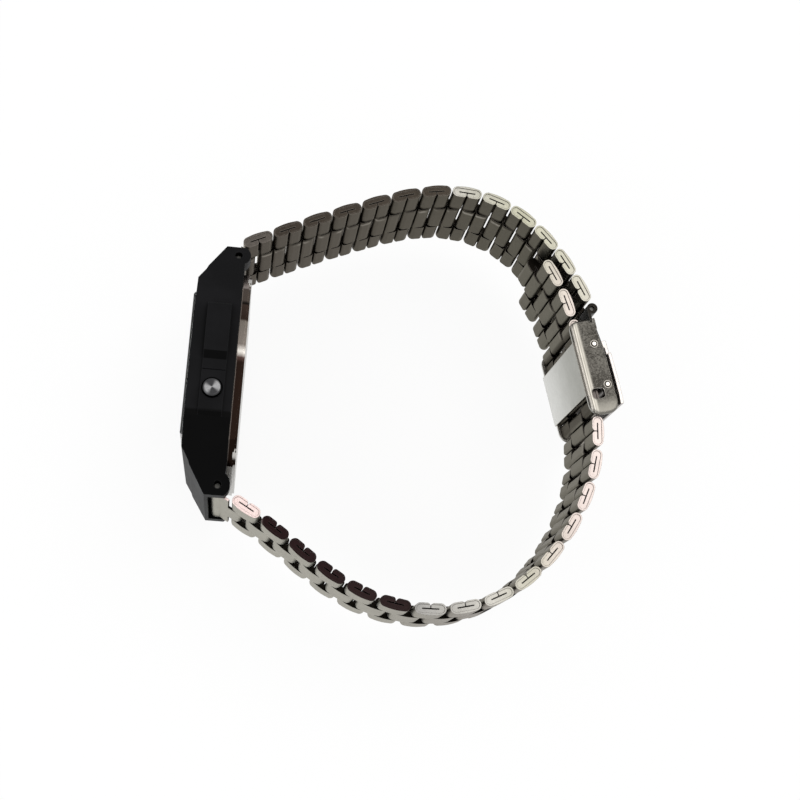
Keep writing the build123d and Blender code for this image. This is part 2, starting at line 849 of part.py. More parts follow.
def save_straps():
    shapes = link_shapes()
    b_places, b_headings = strap_b_places()
    first_pin = b_places[1 + 2 * len(strap_b_turns)]
    a_places, a_headings = close_strap_a(in_clasp(first_pin, *bar_spot()))
    end = strap_end()
    save("strap_end_12h", Pos(*a_places[0]) * Rot(0, 0, a_headings[0]) * end)
    save("strap_end_6h", Pos(*b_places[0]) * Rot(0, 0, b_headings[0]) * mirror(end, about=Plane.XZ))
    for number in range(1, len(strap_a_turns) + 1):
        save(f"link_12h_{number:02d}", *link_node(shapes, a_places, 2 * number - 1, False, a_headings))
    for number in range(1, len(strap_b_turns) + 1):
        save(f"link_6h_{number:02d}", *link_node(shapes, b_places, 2 * number - 1, True, b_headings))
    save_clamped(shapes, b_places, b_headings)
    save_clasp(clasp_frame(first_pin))
    return a_places, b_places


def save_clamped(shapes, places, headings):
    # The first outer pair in the clasp has two pin stubs, so that the middle row of strap B lifts out.
    inside = []
    first = 1 + 2 * len(strap_b_turns)
    for number in range(clamped_links):
        inside += link_node(shapes, places, first + 2 * number, True, headings)
    outer_up, outer_down, middle, pin = shapes
    stub = upright(pin_diameter / 2, row_half + row_gap, pin_half)
    here = Pos(*places[first])
    inside[2:3] = [here * stub, here * mirror(stub, about=Plane.XY)]
    save("links_in_clasp", *inside)
    for number in range(len(tail_turns)):
        index = first + 2 * (clamped_links + number)
        last = number + 1 == len(tail_turns)
        tail_shapes = (outer_up, outer_down, shut_end(middle) if last else middle, pin)
        save(f"tail_link_{number + 1}", *link_node(tail_shapes, places, index, True, headings))


def save_clasp(frame):
    save("clasp_box", frame * clasp_box())
    save("clasp_cover", frame * clasp_cover())
    save("lock_plate", frame * lock_plate())
    save("clasp_pins", *[frame * pin for pin in clasp_pins()])
    save("clasp_spring_bar", frame * clasp_spring_bar())


def main():
    os.makedirs("parts", exist_ok=True)
    save_case()
    save_straps()


main()
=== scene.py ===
import math
import random
from functools import cached_property

import bpy
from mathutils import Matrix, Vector


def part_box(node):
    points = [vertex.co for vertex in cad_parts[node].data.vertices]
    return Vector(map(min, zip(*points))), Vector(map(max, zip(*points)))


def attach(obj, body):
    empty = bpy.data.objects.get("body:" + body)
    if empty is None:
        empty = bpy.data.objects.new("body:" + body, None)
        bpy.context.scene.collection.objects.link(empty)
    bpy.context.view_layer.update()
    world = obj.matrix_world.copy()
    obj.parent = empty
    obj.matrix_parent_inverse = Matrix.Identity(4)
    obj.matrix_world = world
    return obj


mm = 0.001

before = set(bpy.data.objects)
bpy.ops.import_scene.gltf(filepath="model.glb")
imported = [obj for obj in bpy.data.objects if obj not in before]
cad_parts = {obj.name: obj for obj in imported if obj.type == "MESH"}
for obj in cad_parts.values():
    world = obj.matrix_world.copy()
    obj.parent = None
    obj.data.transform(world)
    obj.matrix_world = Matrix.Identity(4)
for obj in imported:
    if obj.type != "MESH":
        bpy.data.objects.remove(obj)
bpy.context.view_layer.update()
print("frame loaded with", len(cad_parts), "pieces")


class Wire:
    # A socket that sums and products can be written with.
    def __init__(self, tree, socket):
        self.tree = tree
        self.socket = socket

    def __add__(self, other):
        return self.tree.maths("ADD", self, other)

    def __radd__(self, other):
        return self.tree.maths("ADD", other, self)

    def __sub__(self, other):
        return self.tree.maths("SUBTRACT", self, other)

    def __rsub__(self, other):
        return self.tree.maths("SUBTRACT", other, self)

    def __mul__(self, other):
        return self.tree.maths("MULTIPLY", self, other)

    def __rmul__(self, other):
        return self.tree.maths("MULTIPLY", other, self)

    def __truediv__(self, other):
        return self.tree.maths("DIVIDE", self, other)

    def __neg__(self):
        return self.tree.maths("MULTIPLY", self, -1.0)

    def __abs__(self):
        return self.tree.maths("ABSOLUTE", self)


def solid(colour):
    return colour if isinstance(colour, Wire) else (*colour, 1.0)


class Tree:
    # A node tree, built up node by node.
    def __init__(self, nodeTree):
        self.nodeTree = nodeTree

    def add(self, kind, settings=None, inputs=None):
        node = self.nodeTree.nodes.new(kind)
        for key, value in (settings or {}).items():
            if key == "stops":
                self.setStops(node.color_ramp, value)
            else:
                setattr(node, key, value)
        for key, value in (inputs or {}).items():
            self.feed(node.inputs[key], value)
        return node

    def feed(self, socket, value):
        if isinstance(value, Wire):
            self.nodeTree.links.new(value.socket, socket)
        else:
            socket.default_value = value

    def setStops(self, ramp, stops):
        while len(ramp.elements) < len(stops):
            ramp.elements.new(0.5)
        for element, (place, colour) in zip(ramp.elements, stops):
            element.position = place
            element.color = solid(colour)

    def wire(self, node, name):
        return Wire(self, node.outputs[name])

    def maths(self, operation, *values):
        node = self.add("ShaderNodeMath", {"operation": operation}, dict(enumerate(values)))
        return self.wire(node, 0)

    def seenDirectly(self):
        # 1 for what the camera sees itself, in a mirror or through glass, and 0 for the light it gives.
        path = self.add("ShaderNodeLightPath")
        seen = self.maths("MAXIMUM", self.wire(path, "Is Camera Ray"), self.wire(path, "Is Glossy Ray"))
        return self.maths("MAXIMUM", seen, self.wire(path, "Is Transmission Ray"))


class Finish(Tree):
    # One material. Places and sizes in it are in millimetres.
    def __init__(self, name):
        self.material = bpy.data.materials.new(name)
        self.material.use_nodes = True
        super().__init__(self.material.node_tree)
        self.nodeTree.nodes.clear()

    @cached_property
    def place(self):
        return self.scale(self.wire(self.add("ShaderNodeTexCoord"), "Object"), 1 / mm)

    @cached_property
    def facing(self):
        return self.wire(self.add("ShaderNodeTexCoord"), "Normal")

    def parts(self, vector, axes):
        node = self.add("ShaderNodeSeparateXYZ", inputs={0: vector})
        return [self.wire(node, axis) for axis in axes]

    def vectors(self, operation, *values):
        node = self.add("ShaderNodeVectorMath", {"operation": operation}, dict(enumerate(values)))
        return self.wire(node, "Value" if operation == "DOT_PRODUCT" else "Vector")

    def scale(self, vector, share):
        # For a colour, this makes it darker or lighter.
        node = self.add("ShaderNodeVectorMath", {"operation": "SCALE"}, {0: vector, "Scale": share})
        return self.wire(node, "Vector")

    def distance(self, across, up):
        return self.maths("SQRT", across * across + up * up)

    def rise(self, value, low, high):
        # 0 below low, 1 above high, with a soft step between them.
        node = self.add(
            "ShaderNodeMapRange",
            {"interpolation_type": "SMOOTHSTEP"},
            {"Value": value, "From Min": low, "From Max": high, "To Min": 0.0, "To Max": 1.0},
        )
        return self.wire(node, "Result")

    def fall(self, value, low, high):
        return 1 - self.rise(value, low, high)

    def band(self, value, low, high, soft):
        return self.rise(value, low, low + soft) * self.fall(value, high - soft, high)

    def noise(self, size, detail=3.0, rough=0.5, stretch=None):
        vector = self.place
        if stretch:
            vector = self.wire(self.add("ShaderNodeMapping", inputs={"Vector": vector, "Scale": stretch}), 0)
        inputs = {"Vector": vector, "Scale": 1 / size, "Detail": detail, "Roughness": rough}
        return self.wire(self.add("ShaderNodeTexNoise", inputs=inputs), 0)

    def blendColours(self, share, first, second):
        # Inputs 6 and 7 and output 2 of the node are its colours.
        node = self.add("ShaderNodeMix", {"data_type": "RGBA"}, {0: share, 6: solid(first), 7: solid(second)})
        return self.wire(node, 2)

    def tonesAlong(self, value, stops):
        # Colours at places in millimetres, blended between them.
        start, end = stops[0][0], stops[-1][0]
        shares = [((place - start) / (end - start), colour) for place, colour in stops]
        node = self.add("ShaderNodeValToRGB", {"stops": shares}, {0: (value - start) / (end - start)})
        return self.wire(node, "Color")

    def softEdges(self, radius):
        return self.wire(self.add("ShaderNodeBevel", {"samples": 6}, {"Radius": radius * mm}), 0)

    def bump(self, height, depth, edgeRadius, strength):
        inputs = {"Height": height, "Distance": depth * mm, "Strength": strength}
        if edgeRadius:
            inputs["Normal"] = self.softEdges(edgeRadius)
        return self.wire(self.add("ShaderNodeBump", inputs=inputs), 0)

    def rim(self, radius):
        # 1 along the outer edges of a piece and 0 on its faces.
        flat = self.wire(self.add("ShaderNodeNewGeometry"), "True Normal")
        return self.rise(1 - self.vectors("DOT_PRODUCT", flat, self.softEdges(radius)), 0.02, 0.16)

    def crevice(self, reach, low=0.25, high=0.8):
        # 1 deep between pieces, where shade falls, and 0 in the open: where painted shade goes.
        node = self.add("ShaderNodeAmbientOcclusion", {"samples": 8}, {"Distance": reach * mm})
        return self.fall(self.wire(node, "AO"), low, high)

    def surface(self, **sockets):
        names = {
            "colour": "Base Color", "metallic": "Metallic", "roughness": "Roughness", "normal": "Normal",
            "specular": "Specular IOR Level", "edgeTint": "Specular Tint", "coat": "Coat Weight",
            "transmission": "Transmission Weight", "ior": "IOR",
        }
        inputs = {}
        for key, value in sockets.items():
            inputs[names[key]] = solid(value) if key in ("colour", "edgeTint") else value
        return self.output(self.add("ShaderNodeBsdfPrincipled", inputs=inputs))

    def output(self, shader):
        self.add("ShaderNodeOutputMaterial", inputs={0: self.wire(shader, 0)})
        return self.material


# Camera and light, in millimetres and degrees

photoCamera = {
    "place": (5.88, -53.75, 222.1),
    "turn": (14.326, -7.009, 3.444),
    "lens": 63.2,
    "sensor": 36.0,
    "clipStart": 1.0,
}

studio = {
    "roomLevel": 0.85,      # of the light from the room, where the white that the camera sees is 1
    "floorSize": 3000.0,
    "floorColour": (0.93, 0.93, 0.93),
    "shadowShare": 0.1,     # how much of its shadows the floor shows
}

softBoxes = {
    "right softbox": {
        "place": (170, 130, 480), "aim": (40, 0, 16), "size": (190, 330), "power": 0.6,
        "colour": (1.0, 0.985, 0.96),
    },
    "left fill": {
        "place": (-260, -220, 300), "aim": (10, 0, 16), "size": (260, 260), "power": 0.35,
        "colour": (0.96, 0.98, 1.0),
    },
}


def addObject(name, data):
    made = bpy.data.objects.new(name, data)
    bpy.context.scene.collection.objects.link(made)
    return made


def placeCamera(settings):
    data = bpy.data.cameras.new("camera")
    data.lens = settings["lens"]
    data.sensor_width = settings["sensor"]
    data.clip_start = settings["clipStart"] * mm
    camera = addObject("camera", data)
    camera.location = Vector(settings["place"]) * mm
    camera.rotation_euler = [math.radians(angle) for angle in settings["turn"]]
    bpy.context.scene.camera = camera


def lightRoom(level):
    world = bpy.data.worlds.new("room")
    world.use_nodes = True
    bpy.context.scene.world = world
    room = Tree(world.node_tree)
    background = world.node_tree.nodes["Background"]
    room.feed(background.inputs["Color"], (1.0, 1.0, 1.0, 1.0))
    room.feed(background.inputs["Strength"], level + (1 - level) * room.seenDirectly())


def layFloor(settings):
    half = settings["floorSize"] * mm / 2
    corners = [(-half, -half, 0), (half, -half, 0), (half, half, 0), (-half, half, 0)]
    mesh = bpy.data.meshes.new("floor")
    mesh.from_pydata(corners, [], [(0, 1, 2, 3)])
    finish = Finish("floor")
    matt = finish.add("ShaderNodeBsdfDiffuse", inputs={"Color": solid(settings["floorColour"])})
    glow = finish.add("ShaderNodeEmission", inputs={"Strength": 1.0})
    share = finish.seenDirectly() * (1 - settings["shadowShare"])
    shaders = {0: share, 1: finish.wire(matt, 0), 2: finish.wire(glow, 0)}
    mesh.materials.append(finish.output(finish.add("ShaderNodeMixShader", inputs=shaders)))
    floor = addObject("floor", mesh)


def hangSoftBox(name, settings):
    data = bpy.data.lights.new(name, "AREA")
    data.shape = "RECTANGLE"
    data.size = settings["size"][0] * mm
    data.size_y = settings["size"][1] * mm
    data.energy = settings["power"]
    data.color = settings["colour"]
    lamp = addObject(name, data)
    lamp.location = Vector(settings["place"]) * mm
    away = Vector(settings["place"]) - Vector(settings["aim"])
    lamp.rotation_euler = away.to_track_quat("Z", "Y").to_euler()


placeCamera(photoCamera)
lightRoom(studio["roomLevel"])
layFloor(studio)
for name, settings in softBoxes.items():
    hangSoftBox(name, settings)
bpy.context.scene.view_settings.view_transform = "Standard"
print("camera, lights and floor set")


# Resins, glass and print

middleHeight = 16.6     # of the strap and the dial above the table

caseLook = {
    "colour": (0.0044, 0.0044, 0.0049),
    "dusty": (0.0070, 0.0070, 0.0078),
    "dustSize": 6.0,
    "lowEndFrom": (7.2, 7.6),       # from the middle of the side towards six o'clock
    # painted shade on the sloping faces and on the low end of the side
    "paintedShadeShare": 0.95,
    # the next three: a painted highlight along the edges
    "edgeHighlight": (0.022, 0.022, 0.024),
    "edgeHighlightShare": 0.7,
    "edgeHighlightRadius": 0.14,
    # the next three: painted shade in creases and hollows
    "crease": (0.001, 0.001, 0.001),
    "creaseShare": 0.8,
    "creaseReach": 1.5,
    "grainSize": 0.09,
    "grainDepth": 0.012,
    "edgeRadius": 0.16,
    "smoothest": 0.42,
    "scuffing": 0.12,
    "scuffSize": 2.2,
    "specular": 0.05,
}


def caseResin(look):
    # Faces that slope towards six o'clock, and that end of the flat side, get painted shade.
    finish = Finish("case resin")
    y = finish.parts(finish.place, "Y")[0]
    facingY, facingZ = finish.parts(finish.facing, "YZ")
    dust = finish.rise(finish.noise(look["dustSize"], detail=4.0), 0.4, 0.7)
    colour = finish.blendColours(dust, look["colour"], look["dusty"])
    slope = finish.rise(-facingY, 0.12, 0.45) * finish.rise(facingZ, 0.3, 0.6)
    lowEnd = finish.rise(-y, *look["lowEndFrom"]) * finish.rise(facingZ, 0.8, 0.95)
    colour = finish.scale(colour, 1 - look["paintedShadeShare"] * finish.maths("MAXIMUM", slope, lowEnd))
    # Painted highlight along the edges
    edgeHighlight = look["edgeHighlightShare"] * finish.rim(look["edgeHighlightRadius"])
    colour = finish.blendColours(edgeHighlight, colour, look["edgeHighlight"])
    # Painted shade in the creases
    crease = look["creaseShare"] * finish.crevice(look["creaseReach"], low=0.3, high=0.85)
    colour = finish.blendColours(crease, colour, look["crease"])
    grain = finish.noise(look["grainSize"], detail=2.0)
    normal = finish.bump(grain, look["grainDepth"], look["edgeRadius"], strength=0.4)
    rough = look["smoothest"] + look["scuffing"] * finish.noise(look["scuffSize"])
    return finish.surface(colour=colour, roughness=rough, normal=normal, specular=look["specular"])


crystalLook = {
    "colour": (0.93, 0.95, 0.95),
    "waveSize": 9.0,
    "waveDepth": 0.004,
    "edgeRadius": 0.15,
    "roughness": 0.03,
    "ior": 1.49,
    "specular": 0.5,
}


def crystalResin(look):
    finish = Finish("crystal resin")
    wave = finish.noise(look["waveSize"], detail=1.0)
    normal = finish.bump(wave, look["waveDepth"], look["edgeRadius"], strength=0.3)
    return finish.surface(
        colour=look["colour"], roughness=look["roughness"], normal=normal, transmission=1.0, ior=look["ior"],
        specular=look["specular"],
    )


faceLook = {
    "window": (9.6, 17.0),
    "line": (0.45, 0.75),       # from the window's edge to the two sides of the line
    "accent": (1.15, 1.6),
    "softness": 0.05,
    "ground": (0.010, 0.012, 0.018),
    "lineColour": (0.42, 0.44, 0.45),
    "accentColour": (0.045, 0.12, 0.30),
    "fleckSize": 0.2,
    "inkDepth": 0.01,
}


def facePrint(look):
    # Two printed lines round the window, each at a steady distance from its edge.
    finish = Finish("face print")
    y, z = finish.parts(finish.place, "YZ")
    length, width = look["window"]
    away = finish.maths("MAXIMUM", abs(y) - length / 2, abs(z - middleHeight) - width / 2)
    line = finish.band(away, *look["line"], look["softness"])
    accent = finish.band(away, *look["accent"], look["softness"])
    fleck = finish.noise(look["fleckSize"])
    colour = finish.blendColours(line, look["ground"], look["lineColour"])
    colour = finish.blendColours(accent, finish.scale(colour, 0.8 + 0.4 * fleck), look["accentColour"])
    normal = finish.bump(line + accent, look["inkDepth"], edgeRadius=0, strength=0.4)
    return finish.surface(colour=colour, roughness=0.3 + 0.15 * fleck, normal=normal, specular=0.4)


panelLook = {
    "dark": (0.30, 0.33, 0.27),
    "light": (0.36, 0.39, 0.32),
    "cloudSize": 7.0,
    "sparkleSize": 0.05,
    "sparkleDepth": 0.002,
}


def displayGlass(look):
    finish = Finish("display glass")
    cloud = finish.noise(look["cloudSize"], detail=2.0)
    colour = finish.blendColours(cloud, look["dark"], look["light"])
    sparkle = finish.noise(look["sparkleSize"], detail=1.0)
    normal = finish.bump(sparkle, look["sparkleDepth"], edgeRadius=0, strength=0.5)
    return finish.surface(colour=colour, roughness=0.32 + 0.1 * sparkle, normal=normal, specular=0.5)


boardLook = {
    "trackColour": (0.05, 0.19, 0.09),
    "gapColour": (0.02, 0.11, 0.05),
    "trackPitch": 0.45,     # from the middle of a track to the middle of the gap beside it
    "trackEdge": (0.17, 0.21),
    "wander": 0.6,
    "wanderSize": 5.0,
    "trackDepth": 0.02,
}


def boardLacquer(look):
    finish = Finish("circuit board")
    y = finish.parts(finish.place, "Y")[0]
    wander = look["wander"] * finish.noise(look["wanderSize"], detail=1.0)
    gap = finish.rise(finish.maths("PINGPONG", y + wander, look["trackPitch"]), *look["trackEdge"])
    colour = finish.blendColours(gap, look["trackColour"], look["gapColour"])
    normal = finish.bump(gap, look["trackDepth"], edgeRadius=0, strength=0.5)
    return finish.surface(colour=colour, roughness=0.3 + 0.1 * gap, normal=normal, coat=0.4)


mouldedLook = {
    "cloudSize": 3.0,
    "cloudShade": 0.7,      # of the colour, where it is darkest
    "grainSize": 0.12,
    "grainDepth": 0.006,
    "edgeRadius": 0.08,
    "specular": 0.4,
}

mouldings = {
    "light guide": {"colour": (0.75, 0.76, 0.7), "roughness": 0.15, "pieces": ["light_guide"]},
    "module resin": {"colour": (0.10, 0.11, 0.11), "roughness": 0.45, "pieces": ["module_frame"]},
    "zebra rubber": {"colour": (0.28, 0.28, 0.28), "roughness": 0.6, "pieces": ["zebra_strips"]},
    "seal rubber": {
        "colour": (0.02, 0.02, 0.02), "roughness": 0.6, "pieces": ["back_gasket", "button_seals"],
    },
}


def mouldedResin(name, colour, roughness):
    finish = Finish(name)
    look = mouldedLook
    cloud = finish.noise(look["cloudSize"])
    darker = tuple(look["cloudShade"] * part for part in colour)
    mixed = finish.blendColours(cloud, darker, colour)
    grain = finish.noise(look["grainSize"], detail=2.0)
    normal = finish.bump(grain, look["grainDepth"], look["edgeRadius"], strength=0.4)
    rough = roughness + 0.1 * cloud
    return finish.surface(colour=mixed, roughness=rough, normal=normal, specular=look["specular"])


# The bracelet's steel. Its tones change along X, from the case to the clasp, as painted reflections and
# painted shade.

# The colour of painted shade in gaps, crevices, hollows and under the clasp
paintedShade = (0.006, 0.005, 0.004)

# Painted light: these tones paint the reflections, shade, rim highlights and glints that each strap shows
# along X, so the two straps are lit and shaded copies of one steel.
twelveTones = {
    "ends": [
        (0.0, (0.085, 0.075, 0.066)), (6.3, (0.085, 0.075, 0.066)), (6.7, (0.038, 0.031, 0.025)),
        (32.7, (0.040, 0.033, 0.026)), (33.1, (0.33, 0.32, 0.29)), (44.0, (0.29, 0.285, 0.22)),
        (55.0, (0.30, 0.288, 0.25)),
    ],
    "outer": [(0.0, (0.38, 0.37, 0.33)), (60.0, (0.32, 0.30, 0.27))],
    "inner": [(0.0, (0.056, 0.048, 0.044)), (35.0, (0.082, 0.077, 0.064)), (60.0, (0.105, 0.104, 0.084))],
    "rim": (0.21, 0.19, 0.168),
    "rimShare": 0.6,
    "dimRimHighlights": None,
    "glintTone": (0.40, 0.38, 0.34),
}
sixTones = {
    "ends": [
        (0.0, (0.60, 0.48, 0.46)), (8.1, (0.60, 0.48, 0.46)), (8.5, (0.013, 0.0064, 0.0070)),
        (30.4, (0.016, 0.010, 0.010)), (30.8, (0.19, 0.187, 0.18)), (42.0, (0.32, 0.31, 0.285)),
        (47.0, (0.28, 0.27, 0.225)), (54.0, (0.38, 0.33, 0.31)), (60.0, (0.40, 0.35, 0.33)),
    ],
    "outer": [
        (0.0, (0.43, 0.43, 0.39)), (26.0, (0.40, 0.40, 0.365)), (40.0, (0.25, 0.235, 0.22)),
        (60.0, (0.30, 0.285, 0.265)),
    ],
    "inner": [(0.0, (0.060, 0.052, 0.048)), (38.0, (0.095, 0.092, 0.075)), (60.0, (0.155, 0.152, 0.13))],
    "rim": (0.24, 0.21, 0.195),
    "rimShare": 0.3,
    "dimRimHighlights": (8.2, 30.8),    # between these places the painted rim highlights are weak
    "glintTone": (0.25, 0.23, 0.21),
}

linkLook = {
    "loopCentre": (24.0, 0.0, middleHeight),
    "width": 18.0,
    "rowEnd": 3.9,              # from the middle of the strap to the gap between its rows
    "rowShade": (0.45, 0.75),   # from that gap, the places where its painted shade starts to fade and ends
    "glintLine": 1.05,           # from that gap to the painted glint line beside it
    "glintReach": (0.2, 0.4),
    "glintPatch": 2.2,
    "capDepth": (0.6, 0.4),     # in from the strap's side, where an end cap's tones start and are full
    "scuffSize": 0.45,
    "filmSize": 3.5,
    "channelShare": 0.8,
    "rimRadius": 0.16,
    "creviceReach": 0.7,
    "brushSize": 0.05,
    "brushStretch": (1.0, 1.0, 0.12),
    "brushDepth": 0.006,
    "edgeRadius": 0.07,
    "edgeTint": (0.72, 0.69, 0.64),
}

claspPlace = {
    "middle": (55.56, 5.71),
    "lean": math.radians(16.0),
    "halfWidth": (2.0, 2.4),    # of the channel, whose painted shade darkens the links in it
    "halfLength": (6.2, 6.8),
}


def inClasp(x, y):
    # Distances from the middle of the clasp, away from the wrist and towards the six o'clock strap.
    lean = claspPlace["lean"]
    right = x - claspPlace["middle"][0]
    up = y - claspPlace["middle"][1]
    return right * math.cos(lean) + up * math.sin(lean), right * math.sin(lean) - up * math.cos(lean)


def linkSteel(name, tones, look):
    finish = Finish(name)
    x, y, z = finish.parts(finish.place, "XYZ")
    toCentre = finish.vectors("NORMALIZE", finish.vectors("SUBTRACT", look["loopCentre"], finish.place))
    inward = finish.rise(finish.vectors("DOT_PRODUCT", toCentre, finish.facing), -0.15, 0.35)
    # Painted reflections and shade along X, with outer faces lighter than the inner faces inside the loop
    ends, outer, inner = (finish.tonesAlong(x, tones[key]) for key in ("ends", "outer", "inner"))
    colour = finish.blendColours(inward, outer, inner)

    # Painted shade in the upper gap between the rows, and a painted glint line beside it
    gapHeight = middleHeight + look["rowEnd"]
    rowShade = finish.fall(abs(z - gapHeight), *look["rowShade"])
    colour = finish.blendColours(0.9 * rowShade * inward, colour, paintedShade)
    glintLine = finish.fall(abs(z - (gapHeight - look["glintLine"])), *look["glintReach"])
    patch = finish.rise(finish.noise(look["glintPatch"], detail=2.0), 0.45, 0.6)
    colour = finish.blendColours(0.5 * glintLine * inward * patch, colour, tones["glintTone"])

    # End caps at the strap's sides, with painted reflection tones, and painted shade on the ends of the
    # middle links further in
    endFace = finish.rise(abs(finish.parts(finish.facing, "Z")[0]), 0.6, 0.85)
    capStart, capFull = (look["width"] / 2 - depth for depth in look["capDepth"])
    cap = finish.rise(abs(z - middleHeight), capStart, capFull)
    colour = finish.blendColours(endFace * (1 - cap), colour, paintedShade)
    colour = finish.blendColours(endFace * cap, colour, ends)
    scuff = finish.noise(look["scuffSize"], detail=4.0, rough=0.7)
    film = finish.noise(look["filmSize"])
    colour = finish.scale(colour, 0.4 + 0.9 * scuff + 0.3 * film)

    # Painted shade inside the clasp's channel and in the crevices, and painted highlights on the rims
    outward, down = inClasp(x, y)
    inChannel = finish.fall(abs(outward), *claspPlace["halfWidth"])
    inChannel = inChannel * finish.fall(abs(down), *claspPlace["halfLength"])
    colour = finish.blendColours(look["channelShare"] * inChannel, colour, paintedShade)
    # Painted highlight along the rims
    edgeHighlight = finish.rim(look["rimRadius"]) * tones["rimShare"]
    if tones["dimRimHighlights"]:
        edgeHighlight = edgeHighlight * (1 - 0.85 * finish.band(x, *tones["dimRimHighlights"], soft=0.2))
    colour = finish.blendColours(edgeHighlight, colour, tones["rim"])
    colour = finish.blendColours(0.9 * finish.crevice(look["creviceReach"]), colour, paintedShade)

    brush = finish.noise(look["brushSize"], detail=2.0, stretch=look["brushStretch"])
    normal = finish.bump(brush, look["brushDepth"], look["edgeRadius"], strength=0.5)
    rough = 0.26 + 0.2 * scuff
    return finish.surface(
        colour=colour, metallic=1.0, roughness=rough, normal=normal, edgeTint=look["edgeTint"]
    )


pinLook = {
    "heads": [(55.345, 9.188), (57.542, 3.160)],
    "headEdge": (0.26, 0.32),
    "centre": (0.50, 0.47, 0.43),
    "ring": (0.012, 0.011, 0.010),
    "scratchSize": 0.1,
    "scratchDepth": 0.004,
    "edgeRadius": 0.1,
}


def fromPins(finish, x, y):
    # Distance from the middle of the nearer pin head.
    away = [finish.distance(x - headX, y - headY) for headX, headY in pinLook["heads"]]
    return finish.maths("MINIMUM", *away)


def pinSteel(look):
    # Riveted heads, with a painted highlight in the middle and a painted dark ring round it.
    finish = Finish("pin steel")
    x, y = finish.parts(finish.place, "XY")
    scratch = finish.noise(look["scratchSize"])
    ring = finish.rise(fromPins(finish, x, y), *look["headEdge"])
    colour = finish.blendColours(ring, look["centre"], look["ring"])
    colour = finish.scale(colour, 0.8 + 0.4 * scratch)
    normal = finish.bump(scratch, look["scratchDepth"], look["edgeRadius"], strength=0.4)
    return finish.surface(colour=colour, metallic=1.0, roughness=0.25 + 0.15 * scratch, normal=normal)


flangeLook = {
    "dark": (0.026, 0.024, 0.021),
    "pale": (0.092, 0.087, 0.077),
    "speckSize": 0.26,
    "speckDepth": 0.010,
    "cloudSize": 2.4,
    # painted light towards the six o'clock end
    "lowEnd": (0.22, 0.21, 0.185),
    "lowEndFrom": (4.2, 7.0),       # from the clasp's middle towards six o'clock
    "streakSize": 0.3,
    "streakStretch": (1.0, 0.15, 1.0),
    "shoulder": (0.24, 0.23, 0.20),
    "shoulderEdge": (-1.35, -0.5),  # from the clasp's middle away from the wrist, as the next three are
    "roll": [
        (-2.4, (0.03, 0.026, 0.024)), (-2.12, (0.05, 0.045, 0.04)), (-2.0, (0.60, 0.56, 0.51)),
        (-1.84, (0.26, 0.245, 0.22)), (-1.72, (0.09, 0.085, 0.076)), (-1.58, (0.50, 0.47, 0.42)),
        (-1.42, (0.24, 0.23, 0.205)), (-1.2, (0.38, 0.36, 0.32)), (-0.9, (0.18, 0.172, 0.152)),
        (-0.4, (0.12, 0.115, 0.10)),
    ],
    "rollEdge": (-1.3, -0.8),
    "plateEdge": (-1.6, -1.4),
    "plateHeights": (6.0, 25.0),
    "plateLow": (0.72, 0.72, 0.69),
    "plateHigh": (0.36, 0.36, 0.325),
    "insideDark": (0.07, 0.066, 0.058),
    "insidePale": (0.10, 0.096, 0.084),
    # painted highlight on the edges and round the pins
    "rim": (0.50, 0.47, 0.42),
    "rimRadius": 0.22,
    "creviceReach": 0.3,
    "bridgeFrom": (7.35, 7.45),     # from the clasp's middle towards twelve o'clock
    "pinGap": (0.40, 0.48),         # from a pin's middle, as the next two are
    "glintStart": (0.42, 0.50),
    "glintEnd": (0.54, 0.64),
    "edgeRadius": 0.3,
}


